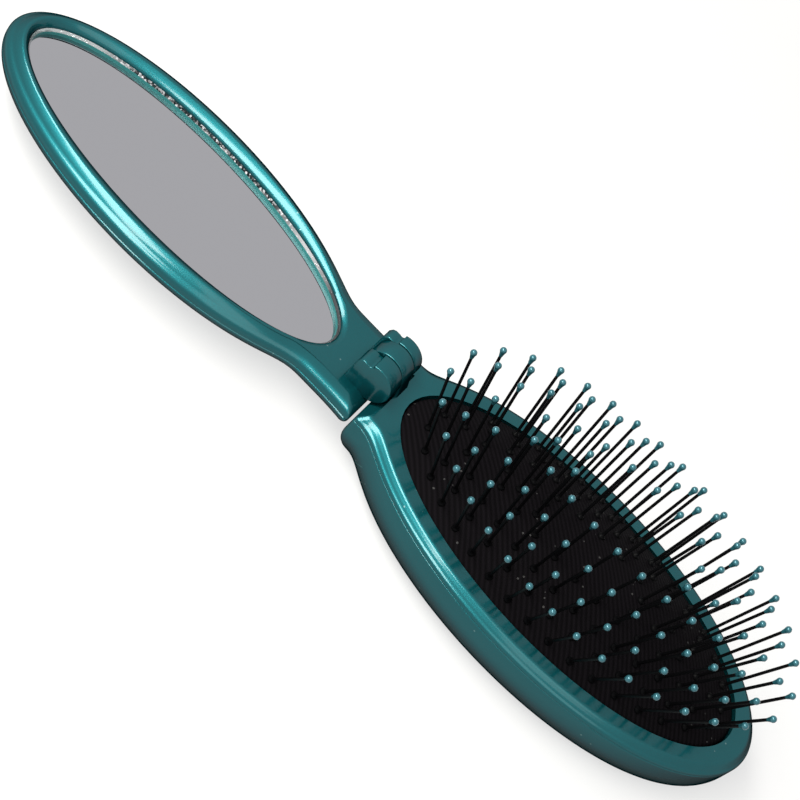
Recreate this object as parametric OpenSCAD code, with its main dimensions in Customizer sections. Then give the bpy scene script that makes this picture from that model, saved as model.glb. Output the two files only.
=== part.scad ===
// Folding hairbrush with mirror, lying open. Millimetres. +Z up, +X to the brush half, Y across.
// The halves meet at the fold line X = 0. Z = 0 is the flat belly of the brush half.

/* [Brush half] */
// fold line to the far tip of the brush half
brush_reach = 99.7; // [85:0.1:120]
// greatest width of the brush half
brush_w = 49.4; // [44:0.1:60]
// width of its end face at the fold
brush_neck_w = 22.4; // [18:0.1:26]
// belly to the bezel's top face
body_depth = 15.6; // [14:0.1:20]
// radius between side wall and belly
belly_r = 9.9; // [6:0.1:10.5]
// wall and floor of the hollow shell
shell_wall = 1.6; // [1.2:0.1:1.8]
// thickness of the bezel plate
bezel_t = 2.3; // [1.6:0.1:3]
// rounding of the bezel's outer top edge
bezel_r = 1.1; // [0.4:0.1:1.5]
// flat ring between cushion opening and outline, at the sides
bezel_ring = 4.55; // [4.3:0.05:6]
// the same at both ends
bezel_end_ring = 5.75; // [5:0.05:8]
// locating skirt of the bezel, its thickness
skirt_t = 0.9; // [0.6:0.1:1.2]
// locating skirt, how far it reaches into the shell
skirt_h = 1.5; // [1:0.1:2]

/* [Cushion] */
// height of the dome above the bezel
dome_h = 6.6; // [4:0.1:7.4]
// fall of the dome from its middle to the opening's ends
dome_fall_x = 7.2; // [4:0.1:7.4]
// fall of the dome from its middle to the opening's sides
dome_fall_y = 7; // [4:0.1:7.2]
// rubber thickness
cushion_t = 1.3; // [0.8:0.1:1.6]
// clearance round the soft cushion
cushion_gap = 0.3; // [0.2:0.05:0.4]
// thickness of the ring that holds the flange
retainer_t = 1.5; // [1:0.1:2]
// width of that ring
retainer_w = 3; // [2:0.1:4]

/* [Bristles] */
// cushion to the middle of the ball
pin_len = 16.8; // [12:0.1:17]
// shaft diameter
pin_d = 0.65; // [0.5:0.05:1]
// ball diameter
ball_d = 1.45; // [1.2:0.05:2]
// radius of the collar round a pin's foot
collar_r = 0.8; // [0.6:0.05:1]
// row 1, the outermost: number of pins
row_1_pins = 34; // [26:1:38]
// row 1: from the opening's ends
row_1_end = 4.9; // [3.6:0.1:6]
// row 1: from the opening's sides
row_1_side = 2.35; // [1.9:0.05:3]
// row 2: number of pins
row_2_pins = 28; // [20:1:32]
// row 2: from the opening's ends
row_2_end = 8.5; // [8:0.1:10]
// row 2: from the opening's sides
row_2_side = 5.65; // [5:0.05:6.5]
// row 3: number of pins
row_3_pins = 26; // [16:1:28]
// row 3: from the opening's ends
row_3_end = 13.3; // [12.5:0.1:15]
// row 3: from the opening's sides
row_3_side = 9.25; // [8.6:0.05:10.5]
// row 4: number of pins
row_4_pins = 19; // [12:1:20]
// row 4: from the opening's ends
row_4_end = 19.5; // [18:0.1:21]
// row 4: from the opening's sides
row_4_side = 13.85; // [12.8:0.05:14.8]
// row 5, two threes beside the bare middle: their outer pins, from the opening's middle
core_end = 18.4; // [17:0.1:20]
// row 5: the pairs, from the opening's middle
core_pair = 13; // [11:0.1:14]
// row 5: half the gap of a pair
core_y = 2; // [1.5:0.1:2.6]
// lean of a pin at the opening's ends, in degrees
lean_end = 19.7; // [0:0.1:22]
// lean of a pin at the opening's sides, in degrees
lean_side = 29.4; // [0:0.1:31]

/* [Mirror half] */
// fold line to the far tip of the mirror half
mirror_reach = 99.7; // [85:0.1:120]
// length of its oval
mirror_oval_len = 89; // [78:0.1:92]
// greatest width of the mirror half
mirror_w = 40; // [36:0.1:48]
// width of the neck beside the hinge
mirror_neck_w = 21.2; // [18:0.1:24]
// extra width of the neck at the fold line
neck_flare = 1; // [0:0.1:2]
// thickness of the mirror half
mirror_t = 5.7; // [5.7:0.1:8]
// its top face below the bezel's top face
mirror_drop = 1.3; // [1:0.1:2]
// rounding of its outer top edge
mirror_top_r = 2.6; // [1:0.1:2.6]
// rounding of its outer bottom edge
mirror_low_r = 2.8; // [1:0.1:2.8]
// length of the mirror in view
view_len = 82.2; // [70:0.1:84]
// width of the mirror in view
view_w = 29.2; // [24:0.1:30]
// rim beyond the mirror at the far tip
view_end = 4.5; // [4:0.1:8]
// slope from the rim's top down to the opening: its width
flank_w = 1.6; // [0.5:0.1:1.7]
// that slope: its height
flank_h = 0.8; // [0.3:0.05:1]
// glass face below the foot of the slope
glass_drop = 0.2; // [0.1:0.05:0.3]
// how far the rim covers the glass edge
glass_cover = 1; // [0.5:0.1:1.5]
// clearance round the glass
glass_gap = 0.3; // [0.1:0.05:0.5]
// glass thickness
glass_t = 1.4; // [1:0.1:1.5]
// adhesive sheet behind the glass
tape_t = 0.3; // [0.2:0.1:0.4]
// floor of the rear cover under its hollow
cover_floor = 1.5; // [1:0.1:2]
// land round that hollow, under the glass edge
cover_land = 3; // [2:0.1:5]

/* [Hinge] */
// gap between the two end faces
slit = 0.6; // [0.4:0.1:1]
// hinge axis beyond the fold line, on the mirror side
axis_x = 2.22; // [2:0.01:2.6]
// hinge axis above the bezel's top face
axis_h = 2.47; // [2.3:0.01:3]
// outer radius of the knuckles
knuckle_r = 4.45; // [4:0.05:4.6]
// width of all three knuckles together
hinge_w = 11.7; // [10:0.1:14]
// width of the middle knuckle
mid_w = 4.2; // [3.4:0.1:5]
// middle knuckle off the hinge block's middle
mid_y = 0.7; // [0:0.1:1]
// side clearance between knuckles
knuckle_gap = 0.12; // [0.1:0.01:0.3]
// clearance round a turning knuckle
swing_gap = 0.3; // [0.25:0.05:0.4]
// hinge pin radius
pin_r = 1.25; // [0.9:0.05:1.5]
// radial running clearance of the pin in the middle knuckle
pin_play = 0.05; // [0.03:0.01:0.1]
// wall that closes the pin bore on the near side
blind_wall = 1.2; // [0.8:0.1:1.6]
// depth of the ridge wall behind the barrel
ridge_x = 4.83; // [4.7:0.01:4.9]
// ridge top above the hinge axis
ridge_h = 3.1; // [2.5:0.1:3.2]
// groove between ridge and barrel
groove_r = 0.75; // [0.5:0.05:1]
// top of the ridge wall's upright back, above the hinge axis
ridge_back = 1.83; // [1.5:0.01:2]

/* [Hidden] */
$fn = 32;
steps = 30;         // outline steps from the fold to the tip, on each side
count = 2 * steps + 1;
arc_steps = 6;      // steps round a large rounded edge
blend_power = 8;    // how tightly the oval runs into the neck

deck = body_depth;                  // bezel's top face
seam = deck - bezel_t;              // shell meets bezel
brush_cx = brush_reach / 2;
pad_a = brush_cx - bezel_end_ring;  // cushion opening
pad_b = brush_w / 2 - bezel_ring;
skirt_gap = 0.1;
skirt = shell_wall + skirt_gap;     // its outer face, in from the outline
flange_w = bezel_ring - skirt - skirt_t - cushion_gap; // cushion flange under the bezel
flange_top = seam - cushion_gap;
flange_low = flange_top - cushion_t;
ring_top = flange_low - cushion_gap;
ledge_z = ring_top - retainer_t;
ledge_w = 1;                        // step in the shell that carries the retainer

face = deck - mirror_drop;          // mirror half's top face
crease = face - flank_h;            // foot of the rim's inner slope
glass_top = crease - glass_drop;
tape_top = glass_top - glass_t;
split = tape_top - tape_t;          // frame meets rear cover
cover_z = face - mirror_t;          // underside of the mirror half
mirror_cx = mirror_reach - mirror_oval_len / 2;
view_cx = mirror_reach - view_end - view_len / 2;

axis_z = deck + axis_h;
sweep_r = norm([ridge_x, ridge_back]) + swing_gap;
hinge_y = 0.1;                      // middle of the three knuckles
hinge_y0 = hinge_y - hinge_w / 2;
hinge_y1 = hinge_y + hinge_w / 2;
mid_y0 = hinge_y + mid_y - mid_w / 2;
mid_y1 = mid_y0 + mid_w;
pin_end = 0.2;                      // pin short of the open end of its bore
root_x = 3.2;                       // where the middle knuckle's root meets the bezel
sink = 1.2;                         // depth of the ridge wall's foot in the rim
ridge_mid = [0.45, 0.9];            // its two bevels: in from the back, up from its top edge
ridge_top_x = 1.1;
ridge_in_x = 2;                     // front of the ridge wall, behind the axis
groove_at = [-2.35, 3.75];          // middle of the groove, from the axis
row_off = 0.6;                      // rows 1 to 3: their middle off the opening's middle
row_4_off = 1.6;
core_off = 0.3;
stem = 0.5;                         // depth of a pin in the rubber
collar_top = 0.45;                  // its collar, and where it has thinned to the shaft
collar_end = 0.9;
socket = 0.2;                       // a shaft ends this far below the ball's middle
drop_h = 1.9;                       // ball radii from the middle down to the drop's foot
lip = 0.3;                          // small bevel of an opening's top edge

teal = [0.16, 0.41, 0.42];
black = [0.06, 0.06, 0.07];

// ---- outlines ----
function oval(x, cx, a, b) = abs(x - cx) >= a ? 0 : b * sqrt(1 - pow((x - cx) / a, 2));
function soft_max(u, v) = pow(pow(u, blend_power) + pow(v, blend_power), 1 / blend_power);
// distance from the fold line at step k: close together at the tip, and near the fold
function station(k, from, to) = from + (to - from) * sin(90 * pow(k / steps, 1.4));
// half width at x, of an outline drawn in by inset
function half_width(x, cx, a, b, neck, inset) =
    let (o = oval(x, cx, a - inset, b - inset))
    x < cx ? soft_max(o, max(neck - inset, 0.4)) : o;
// closed ring of points: side -1 is the mirror half
function ring(side, reach, cx, b, neck, flare, inset, z) = let (
    from = slit / 2 + inset,
    to = reach - inset,
    edge = [for (k = [0:steps]) let (
        x = station(k, from, to),
        n = neck + flare * pow(max(0, 1 - x / 8), 2))
        [x, k == steps ? 0 : half_width(x, cx, reach - cx, b, n, inset)]])
    concat([for (k = [0:steps]) [side * edge[k][0], side * edge[k][1], z]],
           [for (k = [steps - 1:-1:0]) [side * edge[k][0], -side * edge[k][1], z]]);
function brush_ring(inset, z) =
    ring(1, brush_reach, brush_cx, brush_w / 2, brush_neck_w / 2, 0, inset, z);
function mirror_ring(inset, z) =
    ring(-1, mirror_reach, mirror_cx, mirror_w / 2, mirror_neck_w / 2, neck_flare / 2, inset, z);
// oval ring with as many points as an outline, in the same order
function oval_ring(side, cx, a, b, z) = [for (j = [0:count - 1])
    let (t = 180 - (j + 0.5) * 360 / count) [side * (cx + a * cos(t)), side * b * sin(t), z]];
function pad_ring(grow, z) = oval_ring(1, brush_cx, pad_a + grow, pad_b + grow, z);
function view_ring(grow, z) = oval_ring(-1, view_cx, view_len / 2 + grow, view_w / 2 + grow, z);
function dome_z(x, y) =
    deck + dome_h - dome_fall_x * pow(x / pad_a, 2) - dome_fall_y * pow(y / pad_b, 2);
// dome ring: share of the opening, and depth below the outer skin
function dome_ring(share, depth) = [for (p = oval_ring(1, 0, pad_a - cushion_gap - depth,
    pad_b - cushion_gap - depth, 0)) let (x = p[0] * share, y = p[1] * share)
    [brush_cx + x, y, dome_z(x, y) - depth]];
function flat(points) = [for (p = points) [p[0], p[1]]];

// skin through rings that have as many points each; looped joins the last ring to the first
module loft(rings, looped = false) {
    n = len(rings[0]);
    m = len(rings);
    skin = [for (i = [0:m - (looped ? 1 : 2)], j = [0:n - 1])
        let (a = i * n + j, b = i * n + (j + 1) % n, c = ((i + 1) % m) * n + j,
             d = ((i + 1) % m) * n + (j + 1) % n)
        each [[a, b, d], [a, d, c]]];
    caps = looped ? [] : [[for (j = [n - 1:-1:0]) j], [for (j = [0:n - 1]) (m - 1) * n + j]];
    polyhedron(points = [for (r = rings) each r], faces = concat(skin, caps));
}

// ---- brush half ----
module brush_shell() {
    inner_r = belly_r - shell_wall;
    color(teal) loft(concat(
        [for (i = [arc_steps:-1:0]) let (t = 90 * i / arc_steps)
            brush_ring(belly_r * (1 - cos(t)), belly_r * (1 - sin(t)))],
        [brush_ring(0, seam), brush_ring(shell_wall, seam), brush_ring(shell_wall, ledge_z),
         brush_ring(shell_wall + ledge_w, ledge_z)],
        [for (i = [1:arc_steps]) let (t = 90 * i / arc_steps)
            brush_ring(shell_wall + ledge_w + (inner_r - ledge_w) * (1 - cos(t)),
                       belly_r - (belly_r - shell_wall) * sin(t))]));
}

module brush_bezel() {
    color(teal) difference() {
        union() {
            loft(concat(
                [brush_ring(0, seam)],
                [for (i = [0:4]) let (t = 90 * i / 4)
                    brush_ring(bezel_r * (1 - cos(t)), deck - bezel_r * (1 - sin(t)))],
                [pad_ring(lip, deck), pad_ring(0, deck - lip), pad_ring(0, seam),
                 brush_ring(skirt + skirt_t, seam), brush_ring(skirt + skirt_t, seam - skirt_h),
                 brush_ring(skirt, seam - skirt_h), brush_ring(skirt, seam)]), true);
            // root of the middle knuckle
            translate([0, mid_y1, 0]) rotate([90, 0, 0]) linear_extrude(mid_w)
                polygon([[slit / 2, seam + 0.1], [slit / 2, axis_z],
                         [knuckle_r - axis_x - 0.05, axis_z], [root_x, deck], [root_x, seam + 0.1]]);
            knuckle(mid_y0, mid_y1);
        }
        // room for the two turning knuckles, and the pin bore
        axial(hinge_y0 - swing_gap, mid_y0, sweep_r);
        axial(mid_y1, hinge_y1 + swing_gap, sweep_r);
        axial(mid_y0 - 1, mid_y1 + 1, pin_r + pin_play);
    }
}

module cushion_retainer() {
    color(black) translate([0, 0, ledge_z]) linear_extrude(retainer_t) difference() {
        polygon(flat(brush_ring(shell_wall + cushion_gap, 0)));
        polygon(flat(pad_ring(flange_w - retainer_w, 0)));
    }
}

// ---- hinge ----
// bar along the hinge axis
module axial(y0, y1, r) {
    translate([-axis_x, y1, axis_z]) rotate([90, 0, 0]) cylinder(h = y1 - y0, r = r);
}

module knuckle(y0, y1) {
    axial(y0, y1, knuckle_r);
}

// knuckle of the mirror half: barrel, groove and the ridge wall behind it
module ridged_knuckle(y0, y1) {
    translate([-axis_x, y1, axis_z]) rotate([90, 0, 0]) linear_extrude(y1 - y0) difference() {
        union() {
            circle(r = knuckle_r);
            polygon([[-ridge_x, ridge_back], [-ridge_x + ridge_mid[0], ridge_back + ridge_mid[1]],
                     [-ridge_x + ridge_top_x, ridge_h], [-ridge_in_x, ridge_h],
                     [-ridge_in_x, face - axis_z - sink], [-ridge_x, face - axis_z - sink]]);
        }
        translate(groove_at) circle(r = groove_r);
    }
}

module hinge_pin() {
    color([0.7, 0.7, 0.72]) axial(hinge_y0 + blind_wall, hinge_y1 - pin_end, pin_r);
}

// ---- cushion and bristles ----
module cushion() {
    shares = [0.05, 0.25, 0.45, 0.65, 0.82, 0.94];
    edge = pad_a - cushion_gap;
    color(black) loft(concat(
        [for (s = shares) dome_ring(s, 0)],
        [[for (p = pad_ring(-cushion_gap - 0.25, 0))
            [p[0], p[1], dome_z(p[0] - brush_cx, p[1]) - 0.25]]],
        [[for (p = pad_ring(-cushion_gap, 0)) [p[0], p[1], dome_z(p[0] - brush_cx, p[1]) - 0.8]]],
        [pad_ring(-cushion_gap, flange_top), pad_ring(flange_w, flange_top),
         pad_ring(flange_w, flange_low), pad_ring(-cushion_gap - cushion_t, flange_low)],
        [[for (p = pad_ring(-cushion_gap - cushion_t, 0))
            [p[0], p[1], dome_z(p[0] - brush_cx, p[1]) - cushion_t - 0.5]]],
        [for (i = [len(shares) - 1:-1:0]) dome_ring(shares[i], cushion_t)]));
}

// angles that part an oval into n equal lengths, from the near side on
function even_angles(a, b, n, phase) = let (
    path = [for (t = -90, s = 0; t <= 270;
        s = s + norm([a * (cos(t + 2) - cos(t)), b * (sin(t + 2) - sin(t))]), t = t + 2) [s, t]],
    total = path[180][0])
    [for (j = [0:n - 1]) lookup((j + phase) * total / n, path)];
function row_spots(end, side, n, phase, off) = let (a = pad_a - end, b = pad_b - side)
    [for (t = even_angles(a, b, n, phase)) [off + a * cos(t), b * sin(t)]];
// the rings are turned against each other, so that no pins line up
rows = [
    row_spots(row_1_end, row_1_side, row_1_pins, 0.84, row_off),
    row_spots(row_2_end, row_2_side, row_2_pins, 0.22, row_off),
    row_spots(row_3_end, row_3_side, row_3_pins, 0.73, row_off),
    row_spots(row_4_end, row_4_side, row_4_pins, 0.86, row_4_off),
    [for (s = [-1, 1], q = [[core_end, 0], [core_pair, -core_y], [core_pair, core_y]])
        [core_off + s * q[0], q[1]]]];

// each place in a row, upright to the dome
module at_spots(row) {
    for (p = rows[row - 1]) {
        lean = [tan(lean_end) * p[0] / pad_a, tan(lean_side) * p[1] / pad_b];
        translate([brush_cx + p[0], p[1], dome_z(p[0], p[1])])
            rotate([0, atan(norm(lean)), atan2(lean[1], lean[0])]) children();
    }
}

// shaft with the collar that sits in the rubber
module pins(row) {
    color(black) at_spots(row) rotate_extrude()
        polygon([[0, -stem], [collar_r, -stem], [collar_r, collar_top], [pin_d / 2, collar_end],
                 [pin_d / 2, pin_len - socket], [0, pin_len - socket]]);
}

// drop-shaped ball with the socket for the shaft
module tips(row) {
    r = ball_d / 2;
    color([0.12, 0.34, 0.38]) at_spots(row) translate([0, 0, pin_len]) rotate_extrude()
        polygon(concat([[pin_d / 2, -socket], [pin_d / 2, -drop_h * r],
                        [pin_d / 2 + 0.08, -drop_h * r]],
            [for (t = [-35:25:65]) [r * cos(t), r * sin(t)]], [[0, r], [0, -socket]]));
}

module pins_row_1() { pins(1); }
module pins_row_2() { pins(2); }
module pins_row_3() { pins(3); }
module pins_row_4() { pins(4); }
module pins_row_5() { pins(5); }
module tips_row_1() { tips(1); }
module tips_row_2() { tips(2); }
module tips_row_3() { tips(3); }
module tips_row_4() { tips(4); }
module tips_row_5() { tips(5); }

// ---- mirror half ----
module mirror_frame() {
    color(teal) difference() {
        union() {
            loft(concat(
                [mirror_ring(0, split)],
                [for (i = [0:arc_steps]) let (t = 90 * i / arc_steps)
                    mirror_ring(mirror_top_r * (1 - cos(t)), face - mirror_top_r * (1 - sin(t)))],
                [view_ring(flank_w, face), view_ring(0, crease), view_ring(0, glass_top),
                 view_ring(glass_cover + glass_gap, glass_top),
                 view_ring(glass_cover + glass_gap, split)]), true);
            ridged_knuckle(hinge_y0, mid_y0 - knuckle_gap);
            ridged_knuckle(mid_y1 + knuckle_gap, hinge_y1);
        }
        // room for the middle knuckle, and the pin bore, open at the far end only
        axial(mid_y0 - knuckle_gap, mid_y1 + knuckle_gap, knuckle_r + swing_gap);
        axial(hinge_y0 + blind_wall, hinge_y1 + 1, pin_r);
    }
}

module mirror_back() {
    color(teal) loft(concat(
        [for (i = [arc_steps:-1:0]) let (t = 90 * i / arc_steps)
            mirror_ring(mirror_low_r * (1 - cos(t)), cover_z + mirror_low_r * (1 - sin(t)))],
        [mirror_ring(0, split), view_ring(-cover_land, split),
         view_ring(-cover_land, cover_z + cover_floor)]));
}

module mirror_glass() {
    color([0.64, 0.64, 0.65]) translate([0, 0, tape_top]) linear_extrude(glass_t)
        polygon(flat(view_ring(glass_cover, 0)));
}

module mirror_tape() {
    color([0.8, 0.8, 0.78]) translate([0, 0, split]) linear_extrude(tape_t)
        polygon(flat(view_ring(glass_cover, 0)));
}

brush_shell();
brush_bezel();
cushion_retainer();
cushion();
pins_row_1();
pins_row_2();
pins_row_3();
pins_row_4();
pins_row_5();
tips_row_1();
tips_row_2();
tips_row_3();
tips_row_4();
tips_row_5();
mirror_frame();
mirror_back();
mirror_glass();
mirror_tape();
hinge_pin();
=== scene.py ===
# %% [markdown]
# # A folding hairbrush with a mirror
# The brush lies open: one half carries a rubber cushion with ball-tipped bristles, the other a
# small mirror. A knuckle hinge joins them. The solids of the working part come in first as a
# fixed frame. Every piece made here is a smoother, finer version of one of them and stays in the
# same place.

# %% Frame
import math
import bpy
import bmesh
from mathutils import Matrix, Vector


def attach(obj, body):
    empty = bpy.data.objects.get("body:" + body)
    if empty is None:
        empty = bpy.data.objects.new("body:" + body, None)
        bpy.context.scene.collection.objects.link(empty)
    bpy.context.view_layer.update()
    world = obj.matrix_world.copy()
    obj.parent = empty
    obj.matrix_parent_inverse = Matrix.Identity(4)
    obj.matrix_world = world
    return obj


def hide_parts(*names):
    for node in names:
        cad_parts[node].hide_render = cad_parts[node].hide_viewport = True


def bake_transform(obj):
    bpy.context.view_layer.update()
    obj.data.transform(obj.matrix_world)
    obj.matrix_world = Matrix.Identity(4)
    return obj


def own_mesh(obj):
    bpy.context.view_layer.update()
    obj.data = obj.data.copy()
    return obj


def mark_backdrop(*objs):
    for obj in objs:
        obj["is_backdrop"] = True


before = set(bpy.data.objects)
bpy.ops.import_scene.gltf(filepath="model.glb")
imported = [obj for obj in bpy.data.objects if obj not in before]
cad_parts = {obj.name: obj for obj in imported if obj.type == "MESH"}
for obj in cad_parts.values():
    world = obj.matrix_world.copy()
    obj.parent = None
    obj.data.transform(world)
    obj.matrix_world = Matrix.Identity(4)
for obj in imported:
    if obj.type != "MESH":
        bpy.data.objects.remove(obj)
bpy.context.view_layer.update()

# %% [markdown]
# ## The measures
# All lengths are in millimetres here and are the same as in the working part. Each mesh is shrunk
# to metres when it is finished, because Blender's files and the frame use metres.

# %% Measures
MM = 0.001            # one millimetre in metres
SLIT = 0.6            # gap between the two end faces
BRUSH_REACH, BRUSH_W, BRUSH_NECK = 99.7, 49.4, 22.4
MIRROR_REACH, MIRROR_OVAL, MIRROR_W, MIRROR_NECK = 99.7, 89.0, 40.0, 21.2
FLARE = 1.0           # how much the mirror half's neck widens towards the fold
DECK = 15.6           # top face of the bezel
SEAM = 13.3           # where bezel and shell meet
BELLY_R = 9.9         # rounding between belly and side
WALL = 1.6            # wall and floor of the hollow shell
PAD_X, PAD_A, PAD_B = 49.85, 44.1, 20.15     # opening for the cushion: middle and half axes
DOME_H, DOME_FALL_X, DOME_FALL_Y = 6.6, 7.2, 7.0     # crown of the cushion, and its falls
FACE = 14.3           # top of the mirror half's rim
CREASE = 13.5         # foot of the rim's inner slope
SPLIT = 11.6          # rim above, rear cover below
COVER = 8.6           # underside of the mirror half
VIEW_X, VIEW_A, VIEW_B = -54.1, 41.1, 14.6   # opening for the mirror: middle and half axes
AXIS_X, AXIS_Z = -2.22, 18.07                # hinge axis
KNUCKLE_R = 4.45
POCKET_R = 5.47       # hollow in the bezel round the knuckles
BORE_R = 1.26         # bore for the hinge pin
HINGE_Y = (-5.75, 5.95)                      # ends of the whole barrel
MID_Y = (-1.3, 2.9)                          # ends of its middle knuckle
PLAY = 0.2            # air between two knuckles
PIN_LEN, PIN_R, BALL_R = 16.8, 0.325, 0.725
LEAN_END, LEAN_SIDE = 19.7, 29.4             # degrees, at the opening's edge
STEPS = 100           # outline steps from the fold to the tip
SHARP = 35            # degrees; an edge that is steeper stays sharp
print("open:", BRUSH_REACH + MIRROR_REACH, "mm long,", BRUSH_W, "mm wide over the shell")

# %% [markdown]
# ## Outlines
# Each half is an oval that runs into a narrow neck beside the hinge. It could be drawn as a
# curve, but a formula gives the same outline at any inset. A power mean of the oval's and the
# neck's widths joins them without a kink. Rounded edges are then made by stacking outlines of
# growing inset, the way a boat's hull is lofted.


# %% Outlines
def soft_max(u, v):
    """The larger of two values, with a smooth change from one to the other."""
    return (u ** 8 + v ** 8) ** 0.125


def half_width(x, cx, a, b, neck, inset):
    """Half the width at x of an oval and the neck before it."""
    a, b = a - inset, b - inset
    oval = 0 if abs(x - cx) >= a else b * math.sqrt(1 - ((x - cx) / a) ** 2)
    return soft_max(oval, max(neck - inset, 0.4)) if x < cx else oval


def outline(side, reach, cx, b, neck, flare, inset, corner=0.7, face_points=9):
    """Points once round a half: near side, tip, far side, then the end face at the fold. All are
    drawn in by an inset. The steps are closest at the fold and at the tip."""
    start, end = SLIT / 2 + inset + corner, reach - inset
    edge = []
    for k in range(STEPS + 1):
        x = start + (end - start) * math.sin(math.pi / 2 * (k / STEPS) ** 1.4)
        n = neck + flare * max(0, 1 - x / 8) ** 2
        edge.append((x, 0 if k == STEPS else half_width(x, cx, reach - cx, b, n, inset)))
    y0 = edge[0][1] - corner
    bend = [(start - corner * math.sin(t), y0 + corner * math.cos(t))
            for t in (math.pi / 8, math.pi / 4, math.pi * 3 / 8, math.pi / 2)]
    face = [(start - corner, y0 * (1 - 2 * j / (face_points + 1)))
            for j in range(1, face_points + 1)]
    ring = ([(x, -y) for x, y in edge] + [(x, y) for x, y in edge[-2::-1]]
            + bend + face + [(x, -y) for x, y in reversed(bend)])
    return [(side * x, y) for x, y in ring]


def brush_ring(inset):
    return outline(1, BRUSH_REACH, BRUSH_REACH / 2, BRUSH_W / 2, BRUSH_NECK / 2, 0, inset)


def mirror_ring(inset):
    return outline(-1, MIRROR_REACH, MIRROR_REACH - MIRROR_OVAL / 2, MIRROR_W / 2,
                   MIRROR_NECK / 2, FLARE / 2, inset)


def oval_ring(ring, cx, a, b):
    """An oval with as many points as a ring, each in the same direction from the middle."""
    angles = [math.atan2(y / b, (x - cx) / a) for x, y in ring]
    return [(cx + a * math.cos(t), b * math.sin(t)) for t in angles]


print("points round each half:", len(brush_ring(0)))

# %% [markdown]
# ## Lofting with extrusions
# The halves are thin moulded shells whose section changes little on the way round, so they are
# lofted. Box modelling with a subdivision surface would also do, but the edges' radii would then
# only be roughly right. A loft starts from a circle whose points are moved onto the first
# outline. Its edge loop is then extruded again and again, and each new loop is moved onto the
# next outline. The ends are closed with a face, or the last loop is welded to the first where the
# section is a closed loop, as in a frame.


# %% Loft helper
def lift(ring, z):
    """A flat ring at a height."""
    return [Vector((x, y, z)) for x, y in ring]


def next_loop(bm, loop, places):
    """Extrudes a loop of vertices and moves the copy to new places, in the same order."""
    edges = [bm.edges.get((a, b)) for a, b in zip(loop, loop[1:] + loop[:1])]
    made = bmesh.ops.extrude_edge_only(bm, edges=edges)["geom"]
    fresh = {g for g in made if isinstance(g, bmesh.types.BMVert)}
    new = [next(e.other_vert(v) for e in v.link_edges if e.other_vert(v) in fresh) for v in loop]
    for v, co in zip(new, places):
        v.co = co
    return new


def loft(rings, closed=False):
    """A skin over a stack of rings, capped, or with its last ring joined to its first."""
    bm = bmesh.new()
    loop = list(bmesh.ops.create_circle(bm, segments=len(rings[0]), radius=1)["verts"])
    for v, co in zip(loop, rings[0]):
        v.co = co
    first = loop
    for ring in rings[1:]:
        loop = next_loop(bm, loop, ring)
    if closed:
        next_loop(bm, loop, [v.co.copy() for v in first])
        bmesh.ops.remove_doubles(bm, verts=bm.verts, dist=1e-4)
    else:
        for end in (first, loop):
            bmesh.ops.contextual_create(bm, geom=end)
    bmesh.ops.recalc_face_normals(bm, faces=bm.faces)
    return bm


def arc(r, steps):
    """Inset and drop of a quarter round, from its side to its top."""
    return [(r * (1 - math.cos(t)), r * (1 - math.sin(t)))
            for t in (math.pi / 2 * i / steps for i in range(steps + 1))]


def swell(points, start, stop, tilt_from, tilt_to, steps):
    """Adds a convex band to a section, from start to stop, each an (inset, height) pair. Its tilt
    from the horizontal falls from tilt_from to tilt_to, both in degrees."""
    a, b = math.radians(tilt_from), math.radians(tilt_to)
    wide, high = math.sin(a) - math.sin(b), math.cos(b) - math.cos(a)
    for i in range(1, steps + 1):
        t = a + (b - a) * i / steps
        points.append((start[0] + (stop[0] - start[0]) * (math.sin(a) - math.sin(t)) / wide,
                       start[1] + (stop[1] - start[1]) * (math.cos(t) - math.cos(a)) / high))
    return points


print("a 1 mm round in 3 steps:", [(round(i, 2), round(z, 2)) for i, z in arc(1, 3)])

# %% [markdown]
# ## Finishing and cutting
# A finished mesh gets its material, is shaded smooth with sharp edges kept where faces meet at a
# steep angle, and is told which body of the working part it moves with. Three pieces need a round
# hollow or bore. An exact Boolean cuts it cleanly, and its result replaces the mesh at once, so
# that no modifier stays on the piece.


# %% Finishing a piece
def as_object(name, bm):
    """Turns a bmesh into an object in the scene."""
    mesh = bpy.data.meshes.new(name)
    bm.to_mesh(mesh)
    bm.free()
    obj = bpy.data.objects.new(name, mesh)
    bpy.context.scene.collection.objects.link(obj)
    return obj


def shrink(bm):
    """From millimetres to metres."""
    bmesh.ops.scale(bm, vec=(MM,) * 3, verts=bm.verts)


def smooth(obj, sharp=SHARP):
    """Smooth shading that stops at steep edges."""
    obj.data.shade_smooth()
    obj.data.set_sharp_from_angle(angle=math.radians(sharp))


def piece(name, bm, materials, body=None, replaces=(), sharp=SHARP):
    """A finished piece. One that is still to be cut gets its body after the cut."""
    shrink(bm)
    obj = as_object(name, bm)
    for m in materials:
        obj.data.materials.append(m)
    smooth(obj, sharp)
    if body:
        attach(obj, body)
    if replaces:
        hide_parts(*replaces)
    print(f"{name}: {len(obj.data.polygons)} faces")
    return obj


# %% Cutting a piece
def carve(obj, cutter):
    """Takes a cutter's shape out of a piece for good."""
    cut = obj.modifiers.new("cut", "BOOLEAN")
    cut.operation, cut.solver, cut.object = "DIFFERENCE", "EXACT", cutter
    bpy.context.view_layer.update()
    graph = bpy.context.evaluated_depsgraph_get()
    solid = bpy.data.meshes.new_from_object(obj.evaluated_get(graph))
    obj.modifiers.clear()
    old, obj.data = obj.data, solid
    bpy.data.meshes.remove(old)
    solid.name = obj.name
    bpy.data.objects.remove(cutter)


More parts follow.
